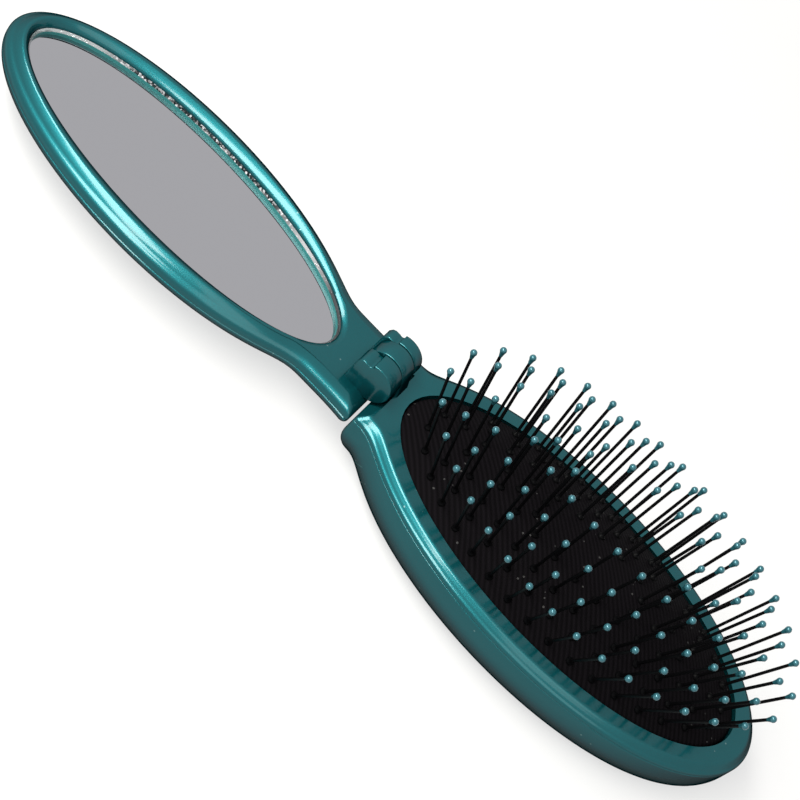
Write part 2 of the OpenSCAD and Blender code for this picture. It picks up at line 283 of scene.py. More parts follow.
def bar(y0, y1, r, segments=96):
    """A round bar along the hinge axis, as a plain object for cutting."""
    bm = bmesh.new()
    bmesh.ops.create_cone(bm, cap_ends=True, segments=segments, radius1=r, radius2=r, depth=y1 - y0)
    bmesh.ops.rotate(bm, verts=bm.verts, matrix=Matrix.Rotation(math.pi / 2, 3, "X"))
    bmesh.ops.translate(bm, verts=bm.verts, vec=(AXIS_X, (y0 + y1) / 2, AXIS_Z))
    shrink(bm)
    return as_object("cutter", bm)


print("pieces keep edges sharp from", SHARP, "degrees")

# %% [markdown]
# ## Shared effects
# Three small node groups are used by several finishes: fine grain, loose dust and hairline
# scratches. Each takes a place and its own settings and gives a mask, so that every finish uses
# it its own way. The nodes could be copied into each material instead, but a group is built once,
# and a change in it reaches every finish.


# %% Node group helpers
def group(name, inputs, outputs):
    """A new node group with its inputs (name, kind, value) and outputs (name, kind)."""
    tree = bpy.data.node_groups.new(name, "ShaderNodeTree")
    for label, kind, value in inputs:
        socket = tree.interface.new_socket(label, in_out="INPUT", socket_type=kind)
        if value is not None:
            socket.default_value = value
    for label, kind in outputs:
        tree.interface.new_socket(label, in_out="OUTPUT", socket_type=kind)
    return tree, tree.nodes.new("NodeGroupInput"), tree.nodes.new("NodeGroupOutput")


def add(tree, kind, **values):
    """Adds a node. Names with an underscore first set its sockets, by name or, where several have
    the same name, by number; the rest are its properties."""
    node = tree.nodes.new(kind)
    for key, value in values.items():
        if key.startswith("_"):
            label = key[1:].replace("_", " ")
            node.inputs[int(label) if label.isdigit() else label].default_value = value
        else:
            setattr(node, key, value)
    return node


def math_node(tree, operation, first, second):
    """A Math node of two values, each a number or a socket."""
    node = add(tree, "ShaderNodeMath", operation=operation)
    for index, value in enumerate((first, second)):
        if isinstance(value, bpy.types.NodeSocket):
            tree.links.new(value, node.inputs[index])
        else:
            node.inputs[index].default_value = value
    return node.outputs[0]


FLOAT, VECTOR = "NodeSocketFloat", "NodeSocketVector"
print("group inputs are", FLOAT, "and", VECTOR)

# %% [markdown]
# ### Grain
# Moulded plastic and lacquer are never quite even. Two noises at different scales give the fine
# unevenness and the broad one. Painted images would blur up close and need a UV map, and noise in
# object space needs neither.


# %% Grain group
def make_grain():
    tree, gin, gout = group("fine_grain", [("Place", VECTOR, None), ("Scale", FLOAT, 2000.0),
                                           ("Softness", FLOAT, 0.5)],
                            [("Mask", FLOAT), ("Height", FLOAT)])
    fine = add(tree, "ShaderNodeTexNoise", _Detail=3.0)
    broad = add(tree, "ShaderNodeTexNoise", _Scale=60.0, _Detail=2.0)
    tree.links.new(gin.outputs["Place"], fine.inputs["Vector"])
    tree.links.new(gin.outputs["Place"], broad.inputs["Vector"])
    tree.links.new(gin.outputs["Scale"], fine.inputs["Scale"])
    tree.links.new(gin.outputs["Softness"], fine.inputs["Roughness"])
    mix = add(tree, "ShaderNodeMix", _0=0.35)
    tree.links.new(fine.outputs["Fac"], mix.inputs[2])
    tree.links.new(broad.outputs["Fac"], mix.inputs[3])
    tree.links.new(mix.outputs[0], gout.inputs["Mask"])
    tree.links.new(fine.outputs["Fac"], gout.inputs["Height"])
    return tree


grain_group = make_grain()
print("grain nodes:", len(grain_group.nodes))

# %% [markdown]
# ### Dust
# Dust lies as single specks in loose patches. A speck is the small middle of a Voronoi cell, and
# a broad noise keeps only the cells in some places. Scattered little meshes would cost far more
# and would show no better at this size.


# %% Dust group
def make_dust():
    tree, gin, gout = group("dust_specks", [("Place", VECTOR, None), ("Scale", FLOAT, 300.0),
                                            ("Size", FLOAT, 0.12), ("Share", FLOAT, 0.5)],
                            [("Mask", FLOAT)])
    cells = add(tree, "ShaderNodeTexVoronoi", feature="F1", _Randomness=1.0)
    where = add(tree, "ShaderNodeTexNoise", _Scale=90.0, _Detail=1.0)
    tree.links.new(gin.outputs["Place"], cells.inputs["Vector"])
    tree.links.new(gin.outputs["Scale"], cells.inputs["Scale"])
    tree.links.new(gin.outputs["Place"], where.inputs["Vector"])
    near = math_node(tree, "LESS_THAN", cells.outputs["Distance"], gin.outputs["Size"])
    here = math_node(tree, "GREATER_THAN", where.outputs["Fac"], gin.outputs["Share"])
    tree.links.new(math_node(tree, "MULTIPLY", near, here), gout.inputs["Mask"])
    return tree


dust_group = make_dust()
print("dust nodes:", len(dust_group.nodes))

# %% [markdown]
# ### Scratches
# A brush that lives in a bag gets long thin hairlines, mostly in one direction. Voronoi cells
# that are stretched sixteenfold have borders like that, and a noise breaks them into short runs.


# %% Scratch group
def make_scratches():
    tree, gin, gout = group("hairline_scratches", [("Place", VECTOR, None), ("Scale", FLOAT, 40.0),
                                                   ("Width", FLOAT, 0.02), ("Angle", FLOAT, 0.6)],
                            [("Mask", FLOAT)])
    turn = add(tree, "ShaderNodeVectorRotate", rotation_type="Z_AXIS")
    tree.links.new(gin.outputs["Place"], turn.inputs["Vector"])
    tree.links.new(gin.outputs["Angle"], turn.inputs["Angle"])
    long = add(tree, "ShaderNodeVectorMath", operation="MULTIPLY", _1=(1.0, 0.06, 1.0))
    tree.links.new(turn.outputs[0], long.inputs[0])
    cells = add(tree, "ShaderNodeTexVoronoi", feature="DISTANCE_TO_EDGE", _Randomness=1.0)
    tree.links.new(long.outputs[0], cells.inputs["Vector"])
    tree.links.new(gin.outputs["Scale"], cells.inputs["Scale"])
    thin = math_node(tree, "LESS_THAN", cells.outputs["Distance"], gin.outputs["Width"])
    gap = add(tree, "ShaderNodeTexNoise", _Scale=55.0, _Detail=1.0)
    tree.links.new(gin.outputs["Place"], gap.inputs["Vector"])
    some = math_node(tree, "GREATER_THAN", gap.outputs["Fac"], 0.66)
    tree.links.new(math_node(tree, "MULTIPLY", thin, some), gout.inputs["Mask"])
    return tree


scratch_group = make_scratches()
print("node groups:", [g.name for g in bpy.data.node_groups])

# %% [markdown]
# ## Building a finish
# Every finish starts from a Principled shader and the piece's object coordinates, in metres. What
# is the same all over is set on the shader itself. What changes over the surface comes from a
# group's mask, which is turned into a colour, scaled to a roughness, or used as the height of a
# bump.


# %% Material helpers
def material(name, **values):
    """A new material with its shader's own values set; gives its tree, shader and coordinates."""
    mat = bpy.data.materials.new(name)
    mat.use_nodes = True
    tree = mat.node_tree
    shader = next(n for n in tree.nodes if n.type == "BSDF_PRINCIPLED")
    for key, value in values.items():
        shader.inputs[key.replace("_", " ")].default_value = value
    place = tree.nodes.new("ShaderNodeTexCoord").outputs["Object"]
    return mat, tree, shader, place


def use(tree, made, place, **values):
    """Puts a node group into a material with its own settings."""
    node = tree.nodes.new("ShaderNodeGroup")
    node.node_tree = made
    tree.links.new(place, node.inputs["Place"])
    for key, value in values.items():
        node.inputs[key].default_value = value
    return node


def blend_colors(tree, mask, a, b, amount=None):
    """Colour a where the mask is 0, b where it is 1; a and b are colours or sockets."""
    mix = tree.nodes.new("ShaderNodeMix")
    mix.data_type = "RGBA"
    for index, value in ((6, a), (7, b)):
        if isinstance(value, bpy.types.NodeSocket):
            tree.links.new(value, mix.inputs[index])
        else:
            mix.inputs[index].default_value = (*value, 1.0)
    if amount is not None:
        mask = scaled(tree, mask, amount)
    tree.links.new(mask, mix.inputs[0])
    return mix.outputs[2]


def scaled(tree, value, factor, offset=0.0):
    """A value times a factor, plus an offset."""
    node = add(tree, "ShaderNodeMath", operation="MULTIPLY_ADD", _1=factor, _2=offset)
    tree.links.new(value, node.inputs[0])
    return node.outputs[0]


def bump(tree, shader, height, strength, distance, after=None):
    """Tilts the surface by a height; a second bump goes after the first one's normal."""
    node = add(tree, "ShaderNodeBump", _Strength=strength, _Distance=distance)
    tree.links.new(height, node.inputs["Height"])
    if after:
        tree.links.new(after, node.inputs["Normal"])
    tree.links.new(node.outputs[0], shader.inputs["Normal"])
    return node.outputs[0]


print("groups to use:", len(bpy.data.node_groups))

# %% [markdown]
# ## Pearl paint
# The halves are moulded plastic under a metallic teal lacquer. Tiny flakes in it throw back
# coloured highlights, so the shader is mostly metallic with a thin clear coat. Grain breaks the
# flakes up, and a little dust and a few hairlines keep it from looking new. Where the surface
# turns away from the eye, Layer Weight's Facing takes the metal and the coat down, and it also
# blends the colour to near black there: a painted shade along the edges.


# %% Teal paint
def make_paint():
    metal, coat = 0.75, 0.45
    mat, tree, shader, place = material(
        "teal_paint", Metallic=metal, Roughness=0.34, Coat_Weight=coat, Coat_Roughness=0.12,
        Specular_IOR_Level=0.0, Specular_Tint=(0.0, 0.25, 0.28, 1))
    grain = use(tree, grain_group, place, Scale=5200.0, Softness=0.6)
    slant = add(tree, "ShaderNodeMapRange", _From_Min=0.36, _From_Max=0.82)
    facing = add(tree, "ShaderNodeLayerWeight", _Blend=0.5).outputs["Facing"]
    tree.links.new(facing, slant.inputs[0])
    teal = blend_colors(tree, grain.outputs["Mask"], (0.002, 0.062, 0.073), (0.006, 0.1, 0.114))
    # Painted shade: where the surface turns away from the eye, the colour goes to near black.
    shade = blend_colors(tree, slant.outputs[0], teal, (0.0, 0.016, 0.02))
    tree.links.new(scaled(tree, slant.outputs[0], -coat, coat), shader.inputs["Coat Weight"])
    tree.links.new(scaled(tree, slant.outputs[0], -metal, metal), shader.inputs["Metallic"])
    dust = use(tree, dust_group, place, Scale=460.0, Size=0.08, Share=0.6)
    lines = use(tree, scratch_group, place, Scale=45.0, Width=0.004, Angle=0.5)
    dusty = blend_colors(tree, dust.outputs["Mask"], shade, (0.3, 0.42, 0.42), 0.35)
    worn = blend_colors(tree, lines.outputs["Mask"], dusty, (0.1, 0.3, 0.3), 0.2)
    tree.links.new(worn, shader.inputs["Base Color"])
    tree.links.new(scaled(tree, grain.outputs["Mask"], 0.14, 0.28), shader.inputs["Roughness"])
    bump(tree, shader, grain.outputs["Height"], 0.03, 0.00005)
    return mat


teal_paint = make_paint()
print("teal paint nodes:", len(teal_paint.node_tree.nodes))

# %% [markdown]
# ## Rubber
# The cushion is matt black rubber with fine, slightly wavy ribs from its mould. A Wave texture
# with some distortion gives the ribs their bump and a lighter colour, which is a painted sheen
# where light would catch them. Cut into the mesh they would need very many faces for the same look.


# %% Rubber
def make_rubber():
    mat, tree, shader, place = material("cushion_rubber", Roughness=0.7, Specular_IOR_Level=0.015)
    grain = use(tree, grain_group, place, Scale=3000.0, Softness=0.6)
    ribs = add(tree, "ShaderNodeTexWave", wave_type="BANDS", bands_direction="X", _Scale=330.0,
               _Distortion=2.2, _Detail=2.0, _Detail_Scale=0.35)
    turn = add(tree, "ShaderNodeVectorRotate", rotation_type="Z_AXIS", _Angle=-0.75)
    tree.links.new(place, turn.inputs["Vector"])
    tree.links.new(turn.outputs[0], ribs.inputs["Vector"])
    dust = use(tree, dust_group, place, Scale=520.0, Size=0.12, Share=0.55)
    base = blend_colors(tree, grain.outputs["Mask"], (0.0014, 0.0012, 0.0015),
                        (0.0034, 0.003, 0.0036))
    # The ribs' lighter colour is a painted sheen, not a colour of the rubber.
    ridge = blend_colors(tree, ribs.outputs["Fac"], base, (0.0065, 0.0055, 0.007), 0.6)
    dusty = blend_colors(tree, dust.outputs["Mask"], ridge, (0.2, 0.2, 0.2), 0.2)
    tree.links.new(dusty, shader.inputs["Base Color"])
    tree.links.new(scaled(tree, grain.outputs["Mask"], 0.25, 0.55), shader.inputs["Roughness"])
    first = bump(tree, shader, ribs.outputs["Fac"], 0.55, 0.00012)
    bump(tree, shader, grain.outputs["Height"], 0.12, 0.00005, after=first)
    return mat


cushion_rubber = make_rubber()
print("rubber nodes:", len(cushion_rubber.node_tree.nodes))

# %% [markdown]
# ## Nylon and ball coating
# The bristle shafts are black nylon with a satin skin. The balls were dipped in a glossy
# blue-teal coating that hangs like a drop. A slight metallic share gives the coating its pearl.


# %% Nylon, ball coating
def make_nylon():
    mat, tree, shader, place = material("bristle_nylon", Roughness=0.4, Specular_IOR_Level=0.04)
    grain = use(tree, grain_group, place, Scale=2400.0, Softness=0.5)
    base = blend_colors(tree, grain.outputs["Mask"], (0.001, 0.001, 0.0013), (0.003, 0.003, 0.0035))
    tree.links.new(base, shader.inputs["Base Color"])
    tree.links.new(scaled(tree, grain.outputs["Mask"], 0.3, 0.25), shader.inputs["Roughness"])
    bump(tree, shader, grain.outputs["Height"], 0.1, 0.00004)
    return mat


def make_tip_coating():
    mat, tree, shader, place = material("tip_coating", Roughness=0.35, Metallic=0.35,
                                        Coat_Weight=0.15, Coat_Roughness=0.08)
    grain = use(tree, grain_group, place, Scale=1500.0, Softness=0.5)
    base = blend_colors(tree, grain.outputs["Mask"], (0.011, 0.078, 0.1), (0.032, 0.155, 0.19))
    tree.links.new(base, shader.inputs["Base Color"])
    tree.links.new(scaled(tree, grain.outputs["Mask"], 0.16, 0.18), shader.inputs["Roughness"])
    bump(tree, shader, grain.outputs["Height"], 0.08, 0.00004)
    return mat


bristle_nylon = make_nylon()
tip_coating = make_tip_coating()
print("bristle finishes:", bristle_nylon.name, tip_coating.name)

# %% [markdown]
# ## Mirror
# The mirror is silvered at the back, and its silver is darkened to grey: a painted reflection of
# dim surroundings. Its cut edge was ground by hand, and its sparkle in black and white chips is
# painted glint and shade over a real bump. Below that, the glass's steep step carries a teal band,
# a painted reflection of the rim. Real refraction in so thin a plate would be slow and noisy, so
# each of the three zones gets a finish that looks as the glass does there.


# %% Mirror finishes
def make_silver():
    mat, tree, shader, place = material("mirror_silver", Metallic=1.0, Roughness=0.03)
    dust = use(tree, dust_group, place, Scale=700.0, Size=0.05, Share=0.62)
    grain = use(tree, grain_group, place, Scale=900.0, Softness=0.5)
    # Painted reflection: the silver is grey, as if it mirrored dim surroundings.
    silver_painted_grey = blend_colors(tree, grain.outputs["Mask"], (0.365, 0.365, 0.385), (0.375, 0.372, 0.392))
    dusty = blend_colors(tree, dust.outputs["Mask"], silver_painted_grey, (0.5, 0.5, 0.5), 0.25)
    tree.links.new(dusty, shader.inputs["Base Color"])
    tree.links.new(scaled(tree, grain.outputs["Mask"], 0.03, 0.01), shader.inputs["Roughness"])
    return mat


def along_x(tree, x, start, stop, low=0.0, high=1.0):
    """A ramp along the brush, from low at start to high at stop, both in metres."""
    ramp = add(tree, "ShaderNodeMapRange", _From_Min=start, _From_Max=stop, _To_Min=low,
               _To_Max=high)
    tree.links.new(x, ramp.inputs[0])
    return ramp.outputs[0]


def make_ground_edge():
    """Chips painted black and white as glints and shade, a painted white highlight towards the
    neck, painted shade dimming them at the neck's end, and a smooth grey far end.
    """
    mat, tree, shader, place = material("ground_glass_edge", Roughness=0.12, Metallic=0.6)
    chips = add(tree, "ShaderNodeTexVoronoi", feature="F1", _Scale=2600.0, _Randomness=1.0)
    tree.links.new(place, chips.inputs["Vector"])
    split = tree.nodes.new("ShaderNodeSeparateColor")
    tree.links.new(chips.outputs["Color"], split.inputs[0])
    hard = math_node(tree, "POWER", split.outputs[0], 4.0)
    axes = tree.nodes.new("ShaderNodeSeparateXYZ")
    tree.links.new(place, axes.inputs[0])
    x = axes.outputs["X"]
    # Painted highlight: the chips turn whiter towards the neck.
    flare = along_x(tree, x, -0.041, -0.031, high=0.6)
    # Painted shade: the chips dim again at the neck's end.
    painted_shade_to_neck = along_x(tree, x, -0.02, -0.029, low=0.12)
    white = math_node(tree, "MULTIPLY", math_node(tree, "MAXIMUM", hard, flare), painted_shade_to_neck)
    # The chips' black and white are painted glints and shade; only their bump is relief.
    chips_and_painted_glints = blend_colors(tree, white, (0.005, 0.012, 0.014), (0.9, 0.9, 0.93))
    color = blend_colors(tree, along_x(tree, x, -0.078, -0.086), chips_and_painted_glints, (0.42, 0.45, 0.46))
    tree.links.new(color, shader.inputs["Base Color"])
    bump(tree, shader, split.outputs[1], 0.6, 0.0002)
    return mat


def make_glass_side():
    mat, tree, shader, place = material("glass_side", Roughness=0.45, Metallic=0.4)
    grain = use(tree, grain_group, place, Scale=900.0, Softness=0.6)
    # Painted reflection: the teal stands for the rim mirrored in the glass.
    color = blend_colors(tree, grain.outputs["Mask"], (0.018, 0.16, 0.16), (0.03, 0.23, 0.225))
    tree.links.new(color, shader.inputs["Base Color"])
    bump(tree, shader, grain.outputs["Height"], 0.05, 0.0001)
    return mat


mirror_silver = make_silver()
ground_edge = make_ground_edge()
glass_side = make_glass_side()
print("mirror finishes:", mirror_silver.name, ground_edge.name, glass_side.name)

# %% [markdown]
# ## Hidden parts
# The steel pin, the adhesive sheet behind the mirror and the ring that clamps the cushion show
# only when the brush is taken apart. Their solids already have the right shape, so they stay, and
# only their material slots are filled, all three with one plain recipe.


# %% Small hidden parts
def make_plain(name, low, high, metallic, roughness, scale):
    """A plain finish whose colour wanders between low and high."""
    mat, tree, shader, place = material(name, Metallic=metallic, Roughness=roughness)
    grain = use(tree, grain_group, place, Scale=scale, Softness=0.6)
    mask = grain.outputs["Mask"]
    tree.links.new(blend_colors(tree, mask, low, high), shader.inputs["Base Color"])
    tree.links.new(scaled(tree, mask, 0.2, roughness - 0.1), shader.inputs["Roughness"])
    bump(tree, shader, grain.outputs["Height"], 0.15, 0.00005)
    return mat


hidden = {
    "hinge_pin": make_plain("pin_steel", (0.42, 0.42, 0.43), (0.62, 0.62, 0.63), 1.0, 0.3, 3000.0),
    "mirror_tape": make_plain("tape_foam", (0.5, 0.5, 0.48), (0.66, 0.66, 0.64), 0.0, 0.8, 2500.0),
    "cushion_retainer": make_plain("black_plastic", (0.008, 0.008, 0.009), (0.02, 0.02, 0.021),
                                   0.0, 0.5, 2000.0)}
for node, mat in hidden.items():
    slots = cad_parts[node].data.materials
    slots.clear()
    slots.append(mat)
print("materials:", len(bpy.data.materials))

# %% [markdown]
# ## Brush half: shell
# The lower shell is a moulded tray with a deep rounded belly. It is lofted from the flat of the
# belly up to the seam, over the thin wall, and down again inside. A hair's breadth of rounding at
# the seam gives the fine line that catches light between shell and bezel.


# %% Shell
def make_shell():
    rings = [lift(brush_ring(i), z) for i, z in reversed(arc(BELLY_R, 18))]
    rings += [lift(brush_ring(i), SEAM - 0.02 - z) for i, z in arc(0.4, 4)]
    rings += [lift(brush_ring(WALL), SEAM - 0.02)]
    rings += [lift(brush_ring(WALL + i), WALL + z) for i, z in arc(BELLY_R - WALL, 9)]
    return piece("brush_body", loft(rings), [teal_paint], "brush", ["brush_shell"])


make_shell()

# %% [markdown]
# ## Brush half: bezel
# The bezel is the flat ring around the cushion. Its section is a closed loop: outer side, an edge
# that swells in two bands with a faint crease between them, flat top, and the softened edge of
# the oval opening. A Bevel modifier would round that edge evenly, but the light on it shows two
# bands, so the section is written out as pairs of inset and height. A round bar cuts the hollow
# in which the hinge knuckles turn.


# %% Bezel
def make_bezel():
    base = brush_ring(0)

    def opening(grow):
        return oval_ring(base, PAD_X, PAD_A + grow, PAD_B + grow)

    rings = [lift(brush_ring(0.2), SEAM + 0.02), lift(brush_ring(0.06), SEAM + 0.06),
             lift(base, SEAM + 0.18)]
    section = swell([(0, 13.5)], (0, 13.5), (0.55, 14.35), 86, 30, 6)
    section = swell(section, (0.58, 14.36), (1.3, 15.08), 51, 39, 4)
    section = swell(section, (1.3, 15.08), (2.3, DECK), 39, 2, 6)
    rings += [lift(brush_ring(i), z) for i, z in section]
    rings += [lift(opening(0.35 - i), DECK - z) for z, i in arc(0.35, 4)]
    rings += [lift(opening(0), SEAM + 0.02)]
    obj = piece("bezel", loft(rings, closed=True), [teal_paint], None, ["brush_bezel"])
    carve(obj, bar(HINGE_Y[0] - 0.3, HINGE_Y[1] + 0.3, POCKET_R))
    smooth(obj)
    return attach(obj, "brush")


make_bezel()

# %% [markdown]
# ## Hinge knuckles
# The hinge is a barrel of three knuckles on one pin. A knuckle could be a cylinder joined to
# blocks, but the joins would leave seams. Instead each is one flat profile drawn across the hinge
# axis, filled and extruded along the axis. Its rim edges get a small bevel, which is what draws
# the bright lines along the real moulding. The mirror half's knuckles have a barrel, a groove and
# a ridge wall behind it.


# %% Knuckle helper
def round_points(x, z, r, angles):
    """Points on a circle in the plane across the hinge, at angles in degrees."""
    return [(x + r * math.cos(math.radians(t)), z + r * math.sin(math.radians(t))) for t in angles]


def barrel(start, stop, step=4.0):
    """The part of the barrel's circle between two angles."""
    n = round(abs(stop - start) / step)
    return round_points(AXIS_X, AXIS_Z, KNUCKLE_R, [start + (stop - start) * i / n
                                                    for i in range(n + 1)])


def knuckle(profile, y0, y1, edge):
    """A profile of (x, z) points extruded from y0 to y1, with its rims bevelled."""
    bm = bmesh.new()
    loop = bmesh.ops.create_circle(bm, segments=len(profile), radius=1)["verts"]
    for v, (x, z) in zip(loop, profile):
        v.co = (x, y0, z)
    face = bmesh.ops.contextual_create(bm, geom=loop)["faces"][0]
    made = bmesh.ops.extrude_face_region(bm, geom=[face])["geom"]
    bmesh.ops.translate(bm, verts=[g for g in made if isinstance(g, bmesh.types.BMVert)],
                        vec=(0, y1 - y0, 0))
    bmesh.ops.recalc_face_normals(bm, faces=bm.faces)
    rims = [e for e in bm.edges if abs(e.verts[0].co.y - e.verts[1].co.y) < 1e-6]
    bmesh.ops.bevel(bm, geom=rims, offset=edge, offset_type="OFFSET", segments=3, profile=0.5,
                    affect="EDGES", material=-1, clamp_overlap=False)
    return bm


# %% Knuckle profiles
FOOT = 13.1           # the mirror half's knuckles reach down into its rim
ridge = [(AXIS_X - 4.83, FOOT), (AXIS_X - 4.83, AXIS_Z + 1.83), (AXIS_X - 4.38, AXIS_Z + 2.73),
         (AXIS_X - 3.73, AXIS_Z + 3.1), (AXIS_X - 3.19, AXIS_Z + 3.1)]
groove = round_points(AXIS_X - 2.35, AXIS_Z + 3.75, 0.75, range(237, 394, 22))
mirror_profile = ridge + groove + barrel(110, -116) + [(AXIS_X - 2.0, FOOT)]
brush_profile = barrel(-55.5, -356) + [(3.2, DECK), (3.2, SEAM + 0.1), (SLIT / 2, SEAM + 0.1)]
print("profile points:", len(mirror_profile), len(brush_profile))

# %% [markdown]
# The pin is pushed in from the far side, so only the far knuckle shows its bore. The middle
# knuckle belongs to the brush half, and the other two turn round it with the mirror half.

# %% Knuckles
piece("near_knuckle", knuckle(mirror_profile, HINGE_Y[0], MID_Y[0] - PLAY, 0.25), [teal_paint],
      "mirror")
far_knuckle = piece("far_knuckle", knuckle(mirror_profile, MID_Y[1] + PLAY, HINGE_Y[1], 0.25),
                    [teal_paint], None)
carve(far_knuckle, bar(HINGE_Y[1] - 2, HINGE_Y[1] + 1, BORE_R, segments=48))
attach(far_knuckle, "mirror")
piece("middle_knuckle", knuckle(brush_profile, MID_Y[0], MID_Y[1], 0.26), [teal_paint], "brush")

# %% [markdown]
# ## Mirror half: rim and rear cover
# The rim is lofted as a closed loop as well: rounded outside, a slope up to a ridge round the
# mirror, and a flank that swells a little as it falls to the glass. A flat flank would mirror the
# lamp's end as a hard step, and a swelling one draws it out into a long streak. Towards the neck
# the ridge sinks into the flat deck.


# %% Ridge helpers
KERB, RIDGE = 13.75, 15.12      # where the outer slope starts, and its top round the mirror
FADE_X, FADE_LONG = -12, 26     # the ridge rises from the neck over this length


def view_ring(grow_a, grow_b):
    """The mirror's opening, widened along the brush by grow_a and across it by grow_b."""
    return oval_ring(mirror_ring(0), VIEW_X, VIEW_A + grow_a, VIEW_B + grow_b)


def ridge_lift(ring, z):
    """Lifts a ring to a height that sinks to the deck's level from the mirror to the neck."""
    low = KERB + (z - KERB) * (FACE - KERB) / (RIDGE - KERB)
    lifted = []
    for x, y in ring:
        share = min(max((FADE_X - x) / FADE_LONG, 0), 1)
        share = share * share * (3 - 2 * share)
        lifted.append(Vector((x, y, low + (z - low) * share)))
    return lifted


print("the ridge stands", round(RIDGE - FACE, 2), "mm above the deck")


# %% Mirror rim
def make_rim():
    rings = [lift(mirror_ring(0.15), SPLIT + 0.02), lift(mirror_ring(0), SPLIT + 0.15)]
    side = swell([(0, 12.1)], (0, 12.1), (1.25, KERB), 90, 50, 8)
    rings += [lift(mirror_ring(i), z) for i, z in side]
    section = swell([], (1.25, KERB), (2.6, 14.88), 46, 33, 5)
    section = swell(section, (2.6, 14.88), (3.2, RIDGE), 33, 4, 5)
    rings += [ridge_lift(mirror_ring(i), z) for i, z in section]
    rings += [ridge_lift(view_ring(1.1, 2.1), RIDGE), ridge_lift(view_ring(1.0, 1.9), RIDGE - 0.04)]
    rings += [ridge_lift(view_ring(0.12 + 0.78 * t, 0.15 + 1.6 * t),
                         CREASE + 0.3 + 1.19 * t + 0.35 * t * (1 - t))
              for t in (1, 0.8, 0.6, 0.4, 0.2, 0)]
    rings += [lift(view_ring(0, 0), CREASE - 0.06), lift(view_ring(0, 0), SPLIT + 0.02)]
    obj = piece("mirror_rim", loft(rings, closed=True), [teal_paint], None, ["mirror_frame"])
    carve(obj, bar(MID_Y[0] - 0.12, MID_Y[1] + 0.12, KNUCKLE_R + 0.3))
    smooth(obj)
    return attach(obj, "mirror")


make_rim()

# %% [markdown]
# The rear cover is a shallow tray under the rim with the same outline. Both stop a hair's breadth
# short of each other and have a tiny chamfer there, so that the join shows as a fine line.


# %% Rear cover
def make_cover():
    rings = [lift(mirror_ring(i), COVER + z) for i, z in reversed(arc(2.8, 12))]
    rings += [lift(mirror_ring(0), SPLIT - 0.15), lift(mirror_ring(0.15), SPLIT - 0.02)]
    rings += [lift(view_ring(-3, -3), SPLIT - 0.02), lift(view_ring(-3, -3), COVER + 1.5)]
    return piece("mirror_cover", loft(rings), [teal_paint], "mirror", ["mirror_back"])


make_cover()

# %% [markdown]
# ## Mirror plate
# What one sees of the plate is its ground edge, below that a steep step of glass painted with a
# teal reflection of the rim, and at the bottom the silver, painted grey as a reflection. The mesh
# has just these surfaces: a sloping edge, a steep step and a sunken face, lofted like the rest.
# Each face then gets its finish from the way it points and from its height, which needs no
# selecting by hand.


# %% Mirror plate
def make_plate():
    section = [(0.06, SPLIT + 0.32), (0.06, CREASE - 0.08), (0.5, CREASE - 0.6),
               (0.54, CREASE - 0.72), (0.54, CREASE - 1.5)]
    bm = loft([lift(view_ring(-i, -i), z) for i, z in section])
    for f in bm.faces:
        z = f.calc_center_median().z
        tall = abs(f.normal.z) < 0.9
        f.material_index = 0 if not tall else 1 if z > CREASE - 0.64 else 2
    return piece("mirror_plate", bm, [mirror_silver, ground_edge, glass_side], "mirror",
                 ["mirror_glass"])


make_plate()

# %% [markdown]
# ## Cushion
# The cushion is a thin rubber dome that bulges from the opening, with a flange below that is held
# under the bezel. A cloth simulation suits slack fabric, but this rubber is moulded and taut, so
# a formula gives its crown, and the bristles use the same one to stand on it. Shutting the brush
# presses the dome inwards.


# %% Cushion
def dome_z(x, y):
    return DECK + DOME_H - DOME_FALL_X * (x / PAD_A) ** 2 - DOME_FALL_Y * (y / PAD_B) ** 2


def dome_ring(base, share, drop):
    """An outline shrunk to a share of its size and laid on the dome, lower by a drop."""
    points = [((x - PAD_X) * share, y * share) for x, y in base]
    return [Vector((PAD_X + x, y, dome_z(x, y) - drop)) for x, y in points]


def make_cushion():
    edge = oval_ring(brush_ring(0), PAD_X, PAD_A - 0.2, PAD_B - 0.2)
    inner = oval_ring(brush_ring(0), PAD_X, PAD_A - 1.5, PAD_B - 1.5)
    shares = [0.02, 0.06] + [0.1 * i for i in range(1, 10)] + [0.95, 0.98]
    rings = [dome_ring(edge, s, 0) for s in shares]
    rings += [dome_ring(edge, 0.99, 0.12), dome_ring(edge, 0.997, 0.4), dome_ring(edge, 1, 0.9)]
    rings += [lift(edge, 12.9), lift(inner, 12.2)]
    rings += [dome_ring(inner, s, 1.3) for s in (1, 0.95, 0.8, 0.6, 0.4, 0.2, 0.04)]
    return piece("rubber_cushion", loft(rings), [cushion_rubber], None, ["cushion"])


cushion = make_cushion()
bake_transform(cushion)

# %% [markdown]
# ## Bristles
# The bristles stand in four oval rows around a bare middle with three pins at each end of it.
# Places at equal angles would crowd at the oval's ends, so each oval is walked in small steps, and
# the places are read off at equal distances.


# %% Bristle places
def even_places(count, end, side, phase, off):
    """Places spread evenly along an oval that lies inside the opening by end and side."""
    a, b = PAD_A - end, PAD_B - side
    walk, total = [(0.0, -90.0)], 0.0
    for t in range(-90, 270, 2):
        total += math.hypot(a * (math.cos(math.radians(t + 2)) - math.cos(math.radians(t))),
                            b * (math.sin(math.radians(t + 2)) - math.sin(math.radians(t))))
        walk.append((total, t + 2.0))
    found = []
    for j in range(count):
        goal = (j + phase) * total / count
        i = next(k for k in range(1, len(walk)) if walk[k][0] >= goal)
        (s0, t0), (s1, t1) = walk[i - 1], walk[i]
        t = math.radians(t0 + (t1 - t0) * (goal - s0) / (s1 - s0))
        found.append((off + a * math.cos(t), b * math.sin(t)))
    return found


